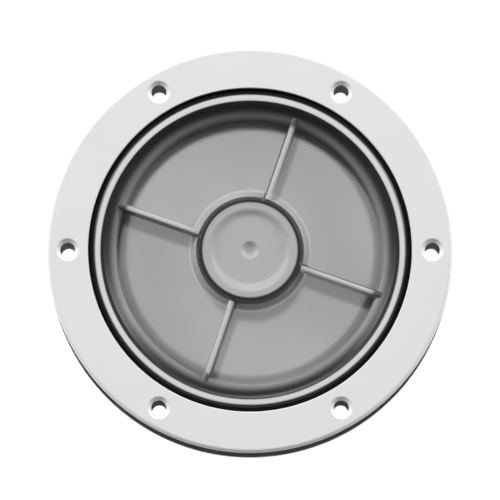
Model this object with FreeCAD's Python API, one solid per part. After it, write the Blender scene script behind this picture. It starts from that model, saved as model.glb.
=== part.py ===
import FreeCAD, Part
import math
import os

# Screw-in deck inspection plate for a boat: a round port that closes an access hole in the deck.
# It comes apart into three pieces:
#   mounting_ring  white moulded ring, fastened through six countersunk holes, with a threaded collar
#   o_ring         rubber seal, carried on the lid's neck under the lip and pressed on the ring's seat
#   lid            translucent dished lid with a hub and four finger ribs, screwed into the collar
# Sizes are in millimetres. Z points up out of the deck. The origin is the centre of the opening on the
# deck's surface, which is the underside of the ring's flange. The lid is drawn screwed home.

# Mounting ring
clear_opening = 102.0
collar_wall = 2.6
collar_overhang = 4.0
seat_thickness = 2.5
flange_width = 14.7
flange_thickness = 3.5
flange_edge_round = 1.4
small_round = 0.4
fillet = 1.0

# Screw holes through the flange, halfway between the recess and the outer edge
screw_count = 6
screw_hole = 5.4
countersink_flare = 1.4
countersink_angle = 90.0

# Thread between ring and lid: right-handed trapezoid ridges
thread_starts = 2
thread_pitch = 4.0
thread_depth = 2.0
flank_angle = 18.0
thread_clearance = 0.3
flank_clearance = 0.35
thread_lead_in = 2.2
thread_run_out = 2.6
ridge_bury = 0.5

# Rubber seal: a round cord, pressed flat between the lid's lip and the ring's seat
seal_cord = 2.85
seal_squeeze = 0.35
seal_side_clearance = 0.15
seal_face_clearance = 0.05

# Lid
lid_wall = 2.4
lid_drop = 0.2
lip_thickness = 1.5
lip_gap = 2.0
lip_flare = 0.7
rim_width = 3.6
neck_width = 1.9
shoulder_clearance = 0.4
skirt_overhang = 3.3
dish_depth = 11.6
bevel_depth = 4.3
wall_draft = 0.3

# Hub in the middle of the lid
hub_diameter = 36.6
hub_flare = 3.6
hub_drop = 0.3
hub_rim_width = 3.7
hub_dish_depth = 1.2
hub_dish_flare = 2.0
gate_dimple_radius = 3.2
gate_dimple_depth = 1.2

# Finger ribs across the dish
rib_count = 4
rib_first_angle = 71.0
rib_width = 2.0
rib_flare = 0.6
rib_drop = 2.3
rib_round = 0.7

# Radii, from the thread outwards
opening_radius = clear_opening / 2
ring_thread_root = opening_radius + thread_depth
lid_thread_root = opening_radius - thread_clearance
lid_thread_crest = ring_thread_root - thread_clearance
collar_radius = ring_thread_root + collar_wall
neck_radius = ring_thread_root + neck_width
seal_height = seal_cord - seal_squeeze
seal_flat = math.pi * (seal_cord ** 2 - seal_height ** 2) / 4 / seal_height
seal_inner = neck_radius + seal_side_clearance
seal_outer = seal_inner + seal_height + seal_flat
recess_radius = seal_outer + seal_side_clearance
flange_radius = recess_radius + flange_width
screw_circle_radius = recess_radius + flange_width / 2
lip_radius = recess_radius - lip_gap
rim_inner = lip_radius - rim_width
dish_radius = lid_thread_root - lid_wall

# Heights, from the flange downwards
flange_top = flange_thickness
lid_top = flange_top - lid_drop
lip_underside = lid_top - lip_thickness
seal_top = lip_underside - seal_face_clearance
seal_bottom = seal_top - seal_height
seat_height = seal_bottom - seal_face_clearance
ledge_height = seat_height - seat_thickness
shoulder_height = seat_height + shoulder_clearance
floor_height = lid_top - dish_depth
floor_underside = floor_height - lid_wall
skirt_bottom = floor_underside - skirt_overhang
collar_bottom = skirt_bottom - collar_overhang
thread_top = seat_height - thread_lead_in
thread_bottom = skirt_bottom + thread_run_out
bevel_foot = lid_top - bevel_depth
hub_top = lid_top - hub_drop
rib_top = lid_top - rib_drop

# Slopes: how much a face moves sideways for each millimetre of height
flank_slope = math.tan(math.radians(flank_angle))
hub_slope = hub_flare / (hub_top - floor_height)
bevel_slope = (rim_inner - dish_radius) / bevel_depth
rib_slope = rib_flare / (rib_top - floor_height)

ridge_crest = thread_pitch / 2 - flank_clearance - flank_slope * (thread_depth - thread_clearance)
lead = thread_pitch * thread_starts

ORIGIN = FreeCAD.Vector(0, 0, 0)
UP = FreeCAD.Vector(0, 0, 1)


def outline(corners):
    """Closed wire in the XZ plane through (x, z, size) corners, each broken by a flat as a round would be."""
    points = [FreeCAD.Vector(x, 0, z) for x, z, _ in corners]
    path = []
    for i, (_, _, size) in enumerate(corners):
        corner = points[i]
        before = points[i - 1] - corner
        after = points[(i + 1) % len(points)] - corner
        half = before.getAngle(after) / 2
        reach = min(size / math.tan(half), before.Length * 0.49, after.Length * 0.49)
        path.append(corner + before.normalize() * reach)
        if size > 0:
            path.append(corner + after.normalize() * reach)
    return Part.makePolygon(path + path[:1])


def turned(corners):
    """Solid of revolution about Z."""
    return Part.Face(outline(corners)).revolve(ORIGIN, UP, 360)


def thread_ridges(root, crest, first_angle):
    """Helical ridges, one for each start, standing from the root radius to the crest radius."""
    foot = root + ridge_bury if crest < root else root - ridge_bury
    crest_half = ridge_crest / 2
    foot_half = crest_half + flank_slope * abs(foot - crest)
    section = Part.makePolygon([
        FreeCAD.Vector(foot, 0, -foot_half),
        FreeCAD.Vector(crest, 0, -crest_half),
        FreeCAD.Vector(crest, 0, crest_half),
        FreeCAD.Vector(foot, 0, foot_half),
        FreeCAD.Vector(foot, 0, -foot_half),
    ])
    rise = thread_top - thread_bottom - 2 * foot_half
    path = Part.makeHelix(lead, rise, root)
    ridge = Part.Wire(path.Edges).makePipeShell([Part.Wire(section.Edges)], True, True)
    ridge.translate(UP * (thread_bottom + foot_half))
    ridges = []
    for start in range(thread_starts):
        turn = ridge.copy()
        turn.rotate(ORIGIN, UP, first_angle + 360 * start / thread_starts)
        ridges.append(turn)
    return ridges


def screw_hole_cutter(angle):
    """One countersunk hole: a drilled cylinder under a cone that opens at the flange's top."""
    cone_depth = countersink_flare / math.tan(math.radians(countersink_angle / 2))
    cutter = turned([
        (0, -flange_thickness, 0),
        (screw_hole / 2, -flange_thickness, 0),
        (screw_hole / 2, flange_top - cone_depth, 0),
        (screw_hole / 2 + countersink_flare, flange_top, 0),
        (screw_hole / 2 + countersink_flare, flange_top + flange_thickness, 0),
        (0, flange_top + flange_thickness, 0),
    ])
    cutter.translate(FreeCAD.Vector(screw_circle_radius, 0, 0))
    cutter.rotate(ORIGIN, UP, angle)
    return cutter


def mounting_ring():
    """Flat flange, recess with the seal's seat, and the collar with the thread inside."""
    edge_bulge = flange_edge_round * (1 - math.sqrt(0.5))
    ring = turned([
        (flange_radius, 0, 0),
        (flange_radius, flange_top - flange_edge_round, 0),
        (flange_radius - edge_bulge, flange_top - edge_bulge, 0),
        (flange_radius - flange_edge_round, flange_top, 0),
        (recess_radius, flange_top, small_round),
        (recess_radius, seat_height, 0),
        (ring_thread_root, seat_height, 0),
        (ring_thread_root, collar_bottom, 0),
        (collar_radius, collar_bottom, 0),
        (collar_radius, ledge_height, 0),
        (recess_radius + collar_wall, ledge_height, 0),
        (recess_radius + collar_wall, 0, 0),
    ])
    ring = ring.fuse(thread_ridges(ring_thread_root, opening_radius, 180 / thread_starts))
    return ring.cut([screw_hole_cutter(360 * i / screw_count) for i in range(screw_count)])


def o_ring():
    """Squeezed cord: flats where the lip and the seat press on it, and two more along each round flank."""
    flank = seal_height / 2
    middle = seal_bottom + flank
    return turned([
        (seal_inner, middle, 0),
        (seal_inner + flank, seal_bottom, 0),
        (seal_outer - flank, seal_bottom, 0),
        (seal_outer, middle, 0),
        (seal_outer - flank, seal_top, 0),
        (seal_inner + flank, seal_top, 0),
    ])


def lid_shell():
    """The lid's turned form at one wall thickness: hub, dish, rim, lip, neck, skirt and underside."""
    hub_radius = hub_diameter / 2
    hub_foot = hub_radius + hub_flare
    hub_floor = hub_top - hub_dish_depth
    hollow_top = hub_floor - lid_wall
    hollow_radius = hub_radius - lid_wall + hub_slope * (hub_top - hollow_top)
    return turned([
        (0, hub_floor - gate_dimple_depth, 0),
        (gate_dimple_radius / 2, hub_floor - gate_dimple_depth, 0),
        (gate_dimple_radius, hub_floor, 0),
        (hub_radius - hub_rim_width - hub_dish_flare, hub_floor, 0),
        (hub_radius - hub_rim_width, hub_top, small_round),
        (hub_radius, hub_top, small_round),
        (hub_foot, floor_height, fillet),
        (dish_radius - wall_draft, floor_height, fillet),
        (dish_radius, bevel_foot, 0),
        (rim_inner, lid_top, small_round),
        (lip_radius, lid_top, small_round),
        (lip_radius + lip_flare, lip_underside, 0),
        (neck_radius, lip_underside, 0),
        (neck_radius, shoulder_height, 0),
        (lid_thread_root, shoulder_height, 0),
        (lid_thread_root, skirt_bottom, 0),
        (dish_radius + wall_draft, skirt_bottom, 0),
        (dish_radius, floor_underside, 0),
        (hub_foot - lid_wall, floor_underside, 0),
        (hollow_radius, hollow_top, 0),
        (0, hollow_top, 0),
    ])


def finger_rib(angle):
    """One tapered rib from the hub's wall to the dish's wall, its ends and foot sunk half a wall deep."""
    sunk = lid_wall / 2
    foot = floor_height - sunk
    top_half = rib_width / 2
    foot_half = top_half + rib_slope * (rib_top - foot)
    web = outline([
        (-foot_half, foot, 0),
        (foot_half, foot, 0),
        (top_half, rib_top, rib_round),
        (-top_half, rib_top, rib_round),
    ])
    web.rotate(ORIGIN, UP, 90)
    bar = Part.Face(web).extrude(FreeCAD.Vector(rim_inner, 0, 0))
    bar.rotate(ORIGIN, UP, angle)
    hub_side = hub_diameter / 2 - sunk
    dish_side = dish_radius + sunk
    trough = turned([
        (hub_side + hub_slope * (hub_top - foot), foot, 0),
        (dish_side, foot, 0),
        (dish_side, bevel_foot, 0),
        (dish_side + bevel_slope * (hub_top - bevel_foot), hub_top, 0),
        (hub_side, hub_top, 0),
    ])
    return bar.common(trough)


def lid():
    """Turned shell with the outside thread and the finger ribs."""
    ribs = [finger_rib(rib_first_angle + 360 * i / rib_count) for i in range(rib_count)]
    return lid_shell().fuse(thread_ridges(lid_thread_root, lid_thread_crest, 0) + ribs)


def write(name, shape):
    """Saves one sub-part as a clean single solid."""
    solids = shape.removeSplitter().Solids
    if len(solids) != 1 or not solids[0].isValid():
        raise RuntimeError(f"{name} came out as {len(solids)} solids")
    solids[0].exportStep(os.path.join("parts", name + ".step"))
    print(name, "volume", round(solids[0].Volume), "mm3")


os.makedirs("parts", exist_ok=True)
write("mounting_ring", mounting_ring())
write("o_ring", o_ring())
write("lid", lid())
print("lead", lead, "mm a turn")
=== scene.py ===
import math

import bmesh
import bpy
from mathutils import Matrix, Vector


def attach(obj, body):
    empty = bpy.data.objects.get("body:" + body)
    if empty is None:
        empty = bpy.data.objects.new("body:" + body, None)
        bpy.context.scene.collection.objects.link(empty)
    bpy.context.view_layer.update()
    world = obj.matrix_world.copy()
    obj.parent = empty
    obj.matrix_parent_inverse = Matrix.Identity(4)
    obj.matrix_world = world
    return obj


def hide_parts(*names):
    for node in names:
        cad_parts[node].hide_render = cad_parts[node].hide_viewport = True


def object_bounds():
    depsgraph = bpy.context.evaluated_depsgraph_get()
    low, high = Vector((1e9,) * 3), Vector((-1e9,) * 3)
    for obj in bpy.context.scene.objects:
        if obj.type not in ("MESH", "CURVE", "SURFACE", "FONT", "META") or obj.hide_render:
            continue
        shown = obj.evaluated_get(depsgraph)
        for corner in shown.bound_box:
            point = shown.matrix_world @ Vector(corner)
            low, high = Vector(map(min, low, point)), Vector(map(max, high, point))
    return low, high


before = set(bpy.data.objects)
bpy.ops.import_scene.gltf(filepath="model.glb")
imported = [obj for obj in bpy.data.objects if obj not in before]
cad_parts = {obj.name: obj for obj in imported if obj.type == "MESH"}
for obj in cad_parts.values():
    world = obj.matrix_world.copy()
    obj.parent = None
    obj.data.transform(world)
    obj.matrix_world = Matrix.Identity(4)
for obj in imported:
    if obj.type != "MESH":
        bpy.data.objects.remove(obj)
cad_low, cad_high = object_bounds()

# Table and light
# The plate lies face up on a plain pale table, on the end of its collar. A wide soft light hangs behind it,
# two lower ones stand at its sides, and the room is darker in front and behind. A hard light from nearly
# overhead falls on the table alone, and a small one in the collar shines up into the translucent lid.

bpy.ops.object.select_all(action="DESELECT")
bpy.ops.mesh.primitive_plane_add(size=6.0, location=(0, 0, cad_low.z - 0.0001))
table_top = bpy.context.object
table_top.name = "table_top"
pale_table = bpy.data.materials.new("pale_table")
pale_table.use_nodes = True
table_shader = pale_table.node_tree.nodes["Principled BSDF"]
table_shader.inputs["Base Color"].default_value = (0.16, 0.16, 0.16, 1)
table_shader.inputs["Roughness"].default_value = 0.9
table_shader.inputs["Specular IOR Level"].default_value = 0.2
table_top.data.materials.append(pale_table)

KEY_PLACE = Vector((-0.5, 2.8, 4.3))
bpy.ops.object.light_add(type="AREA", location=KEY_PLACE)
key_light = bpy.context.object
key_light.name = "key_light"
key_light.data.shape = "DISK"
key_light.data.size = 0.8
key_light.data.energy = 155
key_light.rotation_euler = (-KEY_PLACE).to_track_quat("-Z", "Y").to_euler()

bpy.ops.object.light_add(type="SUN", rotation=(math.radians(-3.8), 0, 0))
table_light = bpy.context.object
table_light.name = "table_light"
table_light.data.energy = 21
table_light.data.angle = math.radians(1.5)
# The table's own light makes it white and draws the shadow; the soft lights leave the table out.
only_table = bpy.data.collections.new("only_table")
only_table.objects.link(table_top)
table_light.light_linking.receiver_collection = only_table
not_table = bpy.data.collections.new("not_table")
not_table.objects.link(table_top)
not_table.collection_objects[0].light_linking.link_state = "EXCLUDE"
key_light.light_linking.receiver_collection = not_table

for side in (-1, 1):
    place = Vector((side * 3.35, 1.9, 1.1))
    bpy.ops.object.light_add(type="AREA", location=place)
    side_light = bpy.context.object
    side_light.name = "side_light"
    side_light.data.shape = "DISK"
    side_light.data.size = 1.6
    side_light.data.energy = 115
    side_light.rotation_euler = (-place).to_track_quat("-Z", "Y").to_euler()
    side_light.light_linking.receiver_collection = not_table

bpy.ops.object.light_add(type="AREA", location=(0, 0, cad_low.z + 0.001), rotation=(math.pi, 0, 0))
under_light = bpy.context.object
under_light.name = "under_light"
under_light.data.shape = "DISK"
under_light.data.size = 0.09
under_light.data.energy = 0.018

room = bpy.data.worlds.new("room")
bpy.context.scene.world = room
room.use_nodes = True
room_nodes = room.node_tree.nodes
room_links = room.node_tree.links
direction = room_nodes.new("ShaderNodeTexCoord")
axes = room_nodes.new("ShaderNodeSeparateXYZ")
room_links.new(direction.outputs["Generated"], axes.inputs[0])
front_back = room_nodes.new("ShaderNodeMath")
front_back.operation = "MULTIPLY"
room_links.new(axes.outputs["Y"], front_back.inputs[0])
room_links.new(axes.outputs["Y"], front_back.inputs[1])
shade = room_nodes.new("ShaderNodeMapRange")
shade.inputs["From Min"].default_value = 0.0
shade.inputs["From Max"].default_value = 0.8
shade.inputs["To Min"].default_value = 1.25
shade.inputs["To Max"].default_value = 0.05
room_links.new(front_back.outputs[0], shade.inputs["Value"])
room_links.new(shade.outputs["Result"], room_nodes["Background"].inputs["Color"])
room_nodes["Background"].inputs["Strength"].default_value = 0.14

# Camera
# It looks down from just in front of the plate, as the photograph does, through a long lens.

CAMERA_ELEVATION = 87
CAMERA_DISTANCE = 2.4
CAMERA_AIM = Vector((0, 0, 0.0015))
bpy.ops.object.camera_add()
camera = bpy.context.object
camera.name = "camera"
camera.data.lens = 480
camera.data.sensor_width = 36
tilt = math.radians(90 - CAMERA_ELEVATION)
camera.location = CAMERA_AIM + Vector((0, -math.sin(tilt), math.cos(tilt))) * CAMERA_DISTANCE
camera.rotation_euler = (tilt, 0, 0)
bpy.context.scene.camera = camera
bpy.context.scene.view_settings.view_transform = "Standard"
bpy.context.scene.cycles.use_denoising = True

# Mounting ring
# One white moulding: a flat flange with six countersunk screw holes, a stepped recess with the seat for
# the seal, and a collar with a two-start thread inside. The white plastic has a soft gloss and a faint
# grain from the mould, and every edge that the tool left is slightly round.

MM = 0.001
TURN_SIDES = 180
FLANGE_TOP = 3.5
FLANGE_RADIUS = 72.988
RECESS_RADIUS = 58.288
SEAT = -0.8
BORE = 53.0
OPENING = 51.0
COLLAR_RADIUS = 55.6
STEP_RADIUS = 60.888
LEDGE = -3.3
COLLAR_BOTTOM = -18.0


def pick(bm, wanted, kind="verts"):
    """Selects the vertices or edges that the test wants, and nothing else."""
    for part in (*bm.verts, *bm.edges, *bm.faces):
        part.select = False
    for part in getattr(bm, kind):
        if wanted(part):
            part.select_set(True)
    bm.select_flush_mode()


def turned(name, corners):
    """Draws a section through (radius, height, round) corners in mm, rounds it and spins it about Z."""
    points = [Vector((radius, 0, height)) * MM for radius, height, _ in corners]
    bpy.ops.object.select_all(action="DESELECT")
    bpy.ops.mesh.primitive_plane_add(size=MM)
    piece = bpy.context.object
    piece.name = name
    piece.data.name = name
    bpy.ops.object.mode_set(mode="EDIT")
    bpy.ops.mesh.merge(type="CENTER")
    bpy.ops.transform.translate(value=points[0])
    for here, there in zip(points, points[1:]):
        bpy.ops.mesh.extrude_vertices_move(TRANSFORM_OT_translate={"value": there - here})
    bm = bmesh.from_edit_mesh(piece.data)
    pick(bm, lambda v: len(v.link_edges) == 1)
    bpy.ops.mesh.edge_face_add()
    bpy.ops.mesh.select_all(action="SELECT")
    bpy.ops.mesh.edge_face_add()
    for i, (_, _, size) in enumerate(corners):
        if size:
            before = points[i - 1] - points[i]
            after = points[(i + 1) % len(points)] - points[i]
            bm = bmesh.from_edit_mesh(piece.data)
            pick(bm, lambda v: (v.co - points[i]).length < 0.01 * MM)
            reach = size * MM / math.tan(before.angle(after) / 2)
            bpy.ops.mesh.bevel(offset=reach, segments=5, affect="VERTICES", clamp_overlap=False)
    bpy.ops.mesh.select_all(action="SELECT")
    bpy.ops.mesh.delete(type="ONLY_FACE")
    bm = bmesh.from_edit_mesh(piece.data)
    pick(bm, lambda e: all(v.co.x < 0.001 * MM for v in e.verts), "edges")
    bpy.ops.mesh.delete(type="EDGE")
    bpy.ops.mesh.select_all(action="SELECT")
    bpy.ops.mesh.spin(steps=TURN_SIDES, angle=2 * math.pi, center=(0, 0, 0), axis=(0, 0, 1))
    bpy.ops.mesh.select_all(action="SELECT")
    bpy.ops.mesh.remove_doubles(threshold=0.001 * MM)
    bpy.ops.mesh.normals_make_consistent(inside=False)
    bpy.ops.object.mode_set(mode="OBJECT")
    return piece


def copies_about_z(piece, angles):
    """Makes a copy of the piece at each angle, its place in its mesh, and joins them."""
    turned_copies = []
    for angle in angles:
        bpy.ops.object.select_all(action="DESELECT")
        piece.select_set(True)
        bpy.context.view_layer.objects.active = piece
        bpy.ops.object.duplicate()
        turned_copy = bpy.context.object
        turned_copy.rotation_euler = (0, 0, math.radians(angle))
        bpy.ops.object.transform_apply(location=True, rotation=True, scale=True)
        turned_copies.append(turned_copy)
    bpy.data.objects.remove(piece)
    bpy.ops.object.select_all(action="DESELECT")
    for turned_copy in turned_copies:
        turned_copy.select_set(True)
    bpy.context.view_layer.objects.active = turned_copies[0]
    bpy.ops.object.join()
    return bpy.context.object


def combine(piece, other, operation):
    """Unites the piece with another, or cuts the other out of it."""
    bpy.ops.object.select_all(action="DESELECT")
    piece.select_set(True)
    bpy.context.view_layer.objects.active = piece
    boolean = piece.modifiers.new("boolean", "BOOLEAN")
    boolean.operation = operation
    boolean.solver = "EXACT"
    boolean.object = other
    bpy.ops.object.modifier_apply(modifier=boolean.name)
    bpy.data.objects.remove(other)


def thread(root, crest, first_angle):
    """Two trapezoid ridges wound up the wall, one for each start, with their feet sunk in it."""
    lead = 8.0
    rise = 5.678
    first_height = -10.039
    crest_half = 0.549
    foot_half = 1.361
    sunk = 0.5 if root > crest else -0.5
    foot = root + sunk
    bpy.ops.object.select_all(action="DESELECT")
    bpy.ops.mesh.primitive_plane_add(size=2 * MM, rotation=(math.pi / 2, 0, 0))
    ridge = bpy.context.object
    bpy.ops.object.transform_apply(location=True, rotation=True, scale=True)
    bpy.ops.object.mode_set(mode="EDIT")
    bm = bmesh.from_edit_mesh(ridge.data)
    pick(bm, lambda v: v.co.x < 0)
    bpy.ops.transform.resize(value=(1, 1, foot_half))
    bpy.ops.transform.translate(value=((foot + 1) * MM, 0, first_height * MM))
    pick(bm, lambda v: abs(v.co.z) < 1.001 * MM and v.co.x < 2 * MM)
    bpy.ops.transform.resize(value=(1, 1, crest_half))
    bpy.ops.transform.translate(value=((crest - 1) * MM, 0, first_height * MM))
    bpy.ops.mesh.select_all(action="SELECT")
    bpy.ops.mesh.delete(type="ONLY_FACE")
    bpy.ops.object.mode_set(mode="OBJECT")
    winding = ridge.modifiers.new("winding", "SCREW")
    turns = rise / lead
    winding.angle = 2 * math.pi * turns
    winding.screw_offset = rise * MM
    winding.steps = round(TURN_SIDES * turns)
    winding.render_steps = winding.steps
    bpy.ops.object.modifier_apply(modifier=winding.name)
    bpy.ops.object.mode_set(mode="EDIT")
    bpy.ops.mesh.select_all(action="SELECT")
    bpy.ops.mesh.fill_holes(sides=4)
    bpy.ops.mesh.select_all(action="SELECT")
    bpy.ops.mesh.normals_make_consistent(inside=False)
    bpy.ops.object.mode_set(mode="OBJECT")
    return copies_about_z(ridge, (first_angle, first_angle + 180))


def finish_surface(piece, angle=30):
    """Smooth shading that breaks only at real edges, with flat faces kept flat."""
    bpy.ops.object.select_all(action="DESELECT")
    piece.select_set(True)
    bpy.context.view_layer.objects.active = piece
    bpy.ops.object.mode_set(mode="EDIT")
    bpy.ops.mesh.select_all(action="SELECT")
    bpy.ops.mesh.remove_doubles(threshold=0.0005 * MM)
    bpy.ops.mesh.normals_make_consistent(inside=False)
    bpy.ops.object.mode_set(mode="OBJECT")
    bpy.ops.object.shade_smooth_by_angle(angle=math.radians(angle))
    weighted = piece.modifiers.new("flat_faces", "WEIGHTED_NORMAL")
    weighted.keep_sharp = True
    bpy.ops.object.modifier_apply(modifier=weighted.name)


ring_body = turned("ring_body", [
    (FLANGE_RADIUS, 0, 0.4),
    (FLANGE_RADIUS, FLANGE_TOP, 1.4),
    (RECESS_RADIUS, FLANGE_TOP, 0.4),
    (RECESS_RADIUS, SEAT, 0.4),
    (BORE, SEAT, 0.4),
    (BORE, COLLAR_BOTTOM, 0.4),
    (COLLAR_RADIUS, COLLAR_BOTTOM, 0.4),
    (COLLAR_RADIUS, LEDGE, 0.8),
    (STEP_RADIUS, LEDGE, 0.4),
    (STEP_RADIUS, 0, 0.3),
])
combine(ring_body, thread(BORE, OPENING, 90), "UNION")

SCREW_CIRCLE = 65.638
HOLE_RADIUS = 2.7
COUNTERSINK_RADIUS = 4.1
hole = turned("hole", [
    (0, -1, 0),
    (HOLE_RADIUS, -1, 0),
    (HOLE_RADIUS, FLANGE_TOP - 1.4, 0.2),
    (COUNTERSINK_RADIUS - 0.1, FLANGE_TOP - 0.1, 0.15),
    (COUNTERSINK_RADIUS + 0.2, FLANGE_TOP + 0.02, 0),
    (COUNTERSINK_RADIUS + 0.2, FLANGE_TOP + 2, 0),
    (0, FLANGE_TOP + 2, 0),
])
hole.location = (SCREW_CIRCLE * MM, 0, 0)
bpy.ops.object.select_all(action="DESELECT")
hole.select_set(True)
bpy.context.view_layer.objects.active = hole
bpy.ops.object.transform_apply(location=True, rotation=True, scale=True)
combine(ring_body, copies_about_z(hole, range(0, 360, 60)), "DIFFERENCE")
finish_surface(ring_body)

mould_skin = bpy.data.node_groups.new("mould_skin", "ShaderNodeTree")
for socket in ("Grain Scale", "Flow Scale"):
    mould_skin.interface.new_socket(socket, in_out="INPUT", socket_type="NodeSocketFloat")
for socket in ("Grain", "Flow"):
    mould_skin.interface.new_socket(socket, in_out="OUTPUT", socket_type="NodeSocketFloat")
skin_nodes = mould_skin.nodes
skin_links = mould_skin.links
skin_in = skin_nodes.new("NodeGroupInput")
skin_out = skin_nodes.new("NodeGroupOutput")
skin_place = skin_nodes.new("ShaderNodeTexCoord")
for scale_name, out_name, detail in (("Grain Scale", "Grain", 3.0), ("Flow Scale", "Flow", 5.0)):
    noise = skin_nodes.new("ShaderNodeTexNoise")
    noise.inputs["Detail"].default_value = detail
    noise.inputs["Roughness"].default_value = 0.6
    skin_links.new(skin_place.outputs["Object"], noise.inputs["Vector"])
    skin_links.new(skin_in.outputs[scale_name], noise.inputs["Scale"])
    skin_links.new(noise.outputs["Fac"], skin_out.inputs[out_name])


def moulded(name, light, dark, gloss, grain_scale, flow_scale, grain_height):
    """A moulded plastic or rubber: colour and gloss drift with the flow, and the skin has a grain."""
    material = bpy.data.materials.new(name)
    material.use_nodes = True
    nodes = material.node_tree.nodes
    links = material.node_tree.links
    shader = nodes["Principled BSDF"]
    skin = nodes.new("ShaderNodeGroup")
    skin.node_tree = mould_skin
    skin.inputs["Grain Scale"].default_value = grain_scale
    skin.inputs["Flow Scale"].default_value = flow_scale
    colour = nodes.new("ShaderNodeMix")
    colour.data_type = "RGBA"
    colour.inputs["A"].default_value = (*light, 1)
    colour.inputs["B"].default_value = (*dark, 1)
    links.new(skin.outputs["Flow"], colour.inputs["Factor"])
    links.new(colour.outputs["Result"], shader.inputs["Base Color"])
    roughness = nodes.new("ShaderNodeMapRange")
    roughness.inputs["To Min"].default_value = gloss[0]
    roughness.inputs["To Max"].default_value = gloss[1]
    links.new(skin.outputs["Flow"], roughness.inputs["Value"])
    links.new(roughness.outputs["Result"], shader.inputs["Roughness"])
    bump = nodes.new("ShaderNodeBump")
    bump.inputs["Strength"].default_value = 0.5
    bump.inputs["Distance"].default_value = grain_height * MM
    links.new(skin.outputs["Grain"], bump.inputs["Height"])
    links.new(bump.outputs["Normal"], shader.inputs["Normal"])
    return material


white_plastic = moulded(
    "white_plastic", light=(0.78, 0.78, 0.775), dark=(0.73, 0.73, 0.725), gloss=(0.4, 0.52),
    grain_scale=1100, flow_scale=40, grain_height=0.02)
ring_body.data.materials.append(white_plastic)
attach(ring_body, "ring")
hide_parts("mounting_ring")

# Seal
# A round black rubber cord, pressed flat between the lid's lip and the ring's seat. It stays on the lid's
# neck when the lid is out. The rubber is dull, with a faint bloom.

SEAL_INNER = 55.05
SEAL_OUTER = 58.138
SEAL_BOTTOM = -0.75
SEAL_TOP = 1.75
SEAL_ROUND = 1.22
seal_cord = turned("seal_cord", [
    (SEAL_INNER, SEAL_BOTTOM, SEAL_ROUND),
    (SEAL_OUTER, SEAL_BOTTOM, SEAL_ROUND),
    (SEAL_OUTER, SEAL_TOP, SEAL_ROUND),
    (SEAL_INNER, SEAL_TOP, SEAL_ROUND),
])
finish_surface(seal_cord, 50)
black_rubber = moulded(
    "black_rubber", light=(0.005, 0.005, 0.005), dark=(0.009, 0.009, 0.009), gloss=(0.6, 0.75),
    grain_scale=1500, flow_scale=90, grain_height=0.03)
black_rubber.node_tree.nodes["Principled BSDF"].inputs["Specular IOR Level"].default_value = 0.12
seal_cord.data.materials.append(black_rubber)
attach(seal_cord, "seal")
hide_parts("o_ring")

# Lid
# One translucent grey moulding: a rim with a lip over the seal, a dish that takes the fingers, a hub with a
# shallow dished top and the dimple of the mould's gate, four ribs, and a skirt whose outside thread screws
# it into the ring. Its flats look light; where parts are seen along their length, painted shade darkens
# them, and the rim has a painted highlight.

LID_TOP = 3.3
HUB_TOP = 3.0
HUB_FLOOR = 1.8
RIB_TOP = 1.0
DISH_FLOOR = -8.3
SKIRT_BOTTOM = -14.0
HUB_RADIUS = 18.3
HUB_FOOT = 21.9
DISH_RADIUS = 48.0
RIM_INNER = 52.688
LIP_SHOULDER = 56.288
LIP_RADIUS = 56.988
LIP_UNDERSIDE = 1.8
NECK_RADIUS = 54.9
NECK_BOTTOM = -0.4
SKIRT_RADIUS = 50.7
THREAD_CREST = 52.7
UNDER_DISH = -10.7
UNDER_HUB = -0.6
lid_body = turned("lid_body", [
    (0, HUB_FLOOR - 1.2, 0),
    (1.5, HUB_FLOOR - 1.2, 1.8),
    (3.2, HUB_FLOOR, 0.4),
    (12.6, HUB_FLOOR, 3.0),
    (14.6, HUB_TOP, 2.4),
    (HUB_RADIUS, HUB_TOP, 0.4),
    (HUB_FOOT, DISH_FLOOR, 1.0),
    (DISH_RADIUS, DISH_FLOOR, 1.0),
    (48.3, -1.0, 1.0),
    (RIM_INNER, LID_TOP, 2.6),
    (LIP_SHOULDER, LID_TOP, 1.4),
    (LIP_RADIUS, LIP_UNDERSIDE, 0.2),
    (NECK_RADIUS, LIP_UNDERSIDE, 0),
    (NECK_RADIUS, NECK_BOTTOM, 0.4),
    (SKIRT_RADIUS, NECK_BOTTOM, 0.4),
    (SKIRT_RADIUS, SKIRT_BOTTOM, 1.0),
    (48.6, SKIRT_BOTTOM, 0.4),
    (48.3, UNDER_DISH, 1.0),
    (19.5, UNDER_DISH, 0.8),
    (17.05, UNDER_HUB, 1.0),
    (0, UNDER_HUB, 0),
])

bpy.ops.object.select_all(action="DESELECT")
bpy.ops.mesh.primitive_cube_add(size=2 * MM)
rib = bpy.context.object
bpy.ops.object.mode_set(mode="EDIT")
RIB_ANGLES = (71, 161, 251, 341)
RIB_FOOT = DISH_FLOOR - 1.2
rib_corners = {
    (-1, -1): (21.1, RIB_FOOT, 1.68),
    (-1, 1): (17.75, RIB_TOP, 1.0),
    (1, -1): (49.4, RIB_FOOT, 1.68),
    (1, 1): (50.6, RIB_TOP, 1.0),
}
bm = bmesh.from_edit_mesh(rib.data)
for (end, level), (radius, height, half_width) in rib_corners.items():
    pick(bm, lambda v: max(map(abs, v.co)) < 1.5 * MM and v.co.x * end > 0 and v.co.z * level > 0)
    bpy.ops.transform.resize(value=(1, half_width, 1))
    bpy.ops.transform.translate(value=((radius - end) * MM, 0, (height - level) * MM))
pick(bm, lambda e: all(abs(v.co.z - RIB_TOP * MM) < 0.01 * MM for v in e.verts)
     and abs(e.verts[0].co.y - e.verts[1].co.y) < 0.01 * MM, "edges")
bpy.ops.mesh.bevel(offset=0.85 * MM, segments=6)
bpy.ops.object.mode_set(mode="OBJECT")
combine(lid_body, copies_about_z(rib, RIB_ANGLES), "UNION")
combine(lid_body, thread(SKIRT_RADIUS, THREAD_CREST, 0), "UNION")
finish_surface(lid_body)

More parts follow.
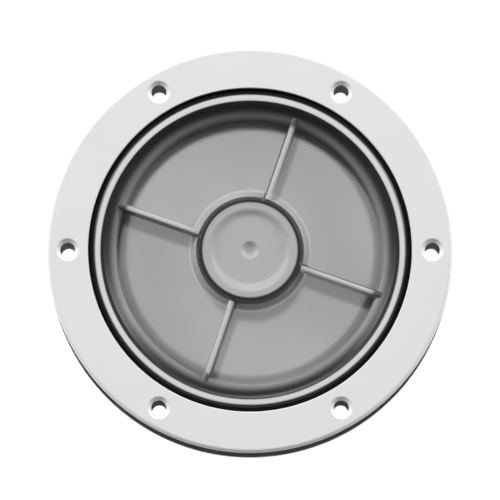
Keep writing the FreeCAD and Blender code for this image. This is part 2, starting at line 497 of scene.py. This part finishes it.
PAINT_REACH = 60
across_lid = bpy.data.node_groups.new("across_lid", "ShaderNodeTree")
across_lid.interface.new_socket("Across", in_out="OUTPUT", socket_type="NodeSocketFloat")
place = across_lid.nodes.new("ShaderNodeTexCoord")
in_plan = across_lid.nodes.new("ShaderNodeVectorMath")
in_plan.operation = "MULTIPLY"
in_plan.inputs[1].default_value = (1000 / PAINT_REACH, 1000 / PAINT_REACH, 0)
across_lid.links.new(place.outputs["Object"], in_plan.inputs[0])
radius = across_lid.nodes.new("ShaderNodeVectorMath")
radius.operation = "LENGTH"
across_lid.links.new(in_plan.outputs["Vector"], radius.inputs[0])
across_out = across_lid.nodes.new("NodeGroupOutput")
across_lid.links.new(radius.outputs["Value"], across_out.inputs["Across"])


def paint_light_and_shade_by_radius(material, stops):
    """Darkens the colour by (radius in mm, value) stops: painted shade where the plastic is seen along its
    length.
    """
    nodes = material.node_tree.nodes
    links = material.node_tree.links
    across = nodes.new("ShaderNodeGroup")
    across.node_tree = across_lid
    ramp = nodes.new("ShaderNodeValToRGB")
    elements = ramp.color_ramp.elements
    elements.remove(elements[1])
    for i, (at, value) in enumerate(stops):
        element = elements[0] if i == 0 else elements.new(at / PAINT_REACH)
        element.position = at / PAINT_REACH
        element.color = (value, value, value, 1)
    links.new(across.outputs["Across"], ramp.inputs["Fac"])
    # Painted shade: the stops multiply into the base colour.
    painted_shading = nodes.new("ShaderNodeMix")
    painted_shading.data_type = "RGBA"
    painted_shading.blend_type = "MULTIPLY"
    painted_shading.inputs["Factor"].default_value = 1
    base_colour = nodes["Principled BSDF"].inputs["Base Color"]
    links.new(base_colour.links[0].from_socket, painted_shading.inputs["A"])
    links.new(ramp.outputs["Color"], painted_shading.inputs["B"])
    links.new(painted_shading.outputs["Result"], base_colour)


def lid_finish(name, light, dark, gloss, transmission):
    """One of the finishes of the lid's plastic, with the share of light that goes through it."""
    material = moulded(
        name, light=(light, light, light), dark=(dark, dark, dark), gloss=gloss,
        grain_scale=700, flow_scale=30, grain_height=0.01)
    shader = material.node_tree.nodes["Principled BSDF"]
    shader.inputs["Transmission Weight"].default_value = transmission
    shader.inputs["IOR"].default_value = 1.52
    return material


# Clear below and on the skirt, satin in the dish, pale on the hub and rib tops, a painted highlight on the
# rim, and painted shade where an edge or one flank of a rib is seen along its length.
clear_grey = lid_finish("clear_grey", light=0.46, dark=0.42, gloss=(0.12, 0.2), transmission=1.0)
satin_grey = lid_finish("satin_grey", light=0.95, dark=0.87, gloss=(0.36, 0.48), transmission=0.5)
satin_shader = satin_grey.node_tree.nodes["Principled BSDF"]
satin_shader.inputs["Specular IOR Level"].default_value = 0.3
satin_shader.inputs["Subsurface Weight"].default_value = 0.4
satin_shader.inputs["Subsurface Radius"].default_value = (1, 1, 1)
satin_shader.inputs["Subsurface Scale"].default_value = 0.002
# Painted shade darkens the hub's upper edge, the dish's wall and the bevel; the hub's wall is left lighter
# as painted light.
paint_light_and_shade_by_radius(satin_grey, [
    (0, 0.02), (19.2, 0.02),  # painted shade on the hub's upper edge
    (19.6, 0.85), (21.8, 0.85),  # the hub's wall, left lighter: painted light
    (22.2, 0.57), (46.6, 0.57),  # the floor
    (47.2, 0.44), (48.2, 0.47), (48.8, 0.45), (49.8, 0.28),  # painted shade on the dish's wall
    (50.6, 0.12), (51.5, 0.04), (53.9, 0.02),  # painted shade on the bevel under the rim
])
pale_with_painted_shading = lid_finish("pale_with_painted_shading", light=0.84, dark=0.78, gloss=(0.4, 0.5), transmission=0.2)
pale_with_painted_shading.node_tree.nodes["Principled BSDF"].inputs["Specular IOR Level"].default_value = 0.3
# Pale on the hub and rib tops; painted shade on the hub's edge and the ribs' ends, and a painted highlight
# on the rim.
paint_light_and_shade_by_radius(pale_with_painted_shading, [
    (0, 0.54), (16.9, 0.54),  # the hub's top
    (17.3, 0.02), (19.2, 0.02),  # painted shade on its edge
    (19.6, 0.66), (46.3, 0.66),  # the ribs' tops
    (47.5, 0.13), (53.7, 0.13),  # painted shade on their ends
    (54.1, 1), (55.5, 1), (55.9, 0.2),  # painted highlight on the rim, painted shade beyond it
])
# Painted shade: a dark grey for one flank of each rib and the lip's outer edge, darker still beyond the
# rim.
painted_shade_grey = lid_finish("painted_shade_grey", light=0.16, dark=0.12, gloss=(0.35, 0.45), transmission=0.4)
paint_light_and_shade_by_radius(painted_shade_grey, [(0, 1), (54.0, 1), (55.0, 0.1)])
for material in (clear_grey, satin_grey, pale_with_painted_shading, painted_shade_grey):
    lid_body.data.materials.append(material)
CLEAR, SATIN, PALE_AND_PAINTED, EDGE = range(4)
RIM_LAND = (53.6, 55.9)
LIP_EDGE = 55.4
DISH_BEGINS = 46.9
FLOOR_REACH = (21.5, 47.5)
for face in lid_body.data.polygons:
    level = face.center.z / MM
    across = math.hypot(face.center.x, face.center.y) / MM
    upward = face.normal.z
    turn = math.atan2(face.center.y, face.center.x) - math.radians(RIB_ANGLES[0])
    aside = (turn + math.pi / 4) % (math.pi / 2) - math.pi / 4
    off_rib = across * math.sin(aside)
    inside_dish = level > DISH_FLOOR - 0.1
    on_rib = 19 < across < 48 and abs(off_rib) < 1.75 and DISH_FLOOR + 0.1 < level < RIB_TOP + 0.1
    hub_face = across < HUB_RADIUS + 0.1 and level > 0
    hub_wall = HUB_RADIUS - 0.1 < across < HUB_FOOT + 0.1 and inside_dish and not on_rib
    floor_face = FLOOR_REACH[0] < across < FLOOR_REACH[1] and inside_dish and upward > 0.5
    dish_wall = DISH_BEGINS < across < RIM_LAND[0] and inside_dish and upward > -0.1 and not on_rib
    rib_top = on_rib and upward > 0.7
    # The counterclockwise flank of each rib gets painted shade; the other flank stays satin.
    rib_painted_dark_flank = on_rib and not rib_top and off_rib > 0
    rib_flank = on_rib and not rib_top and off_rib < 0
    lip_edge = across > LIP_EDGE and level > LIP_UNDERSIDE - 0.1
    rim_land = RIM_LAND[0] < across < RIM_LAND[1] and upward > 0.9 and level > LID_TOP - 0.4
    if rim_land or rib_top or hub_face:
        face.material_index = PALE_AND_PAINTED
    # Painted shade on one flank of each rib and on the lip's edge.
    elif rib_painted_dark_flank or lip_edge:
        face.material_index = EDGE
    elif hub_wall or floor_face or dish_wall or rib_flank:
        face.material_index = SATIN
    else:
        face.material_index = CLEAR
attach(lid_body, "lid")
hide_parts("lid")
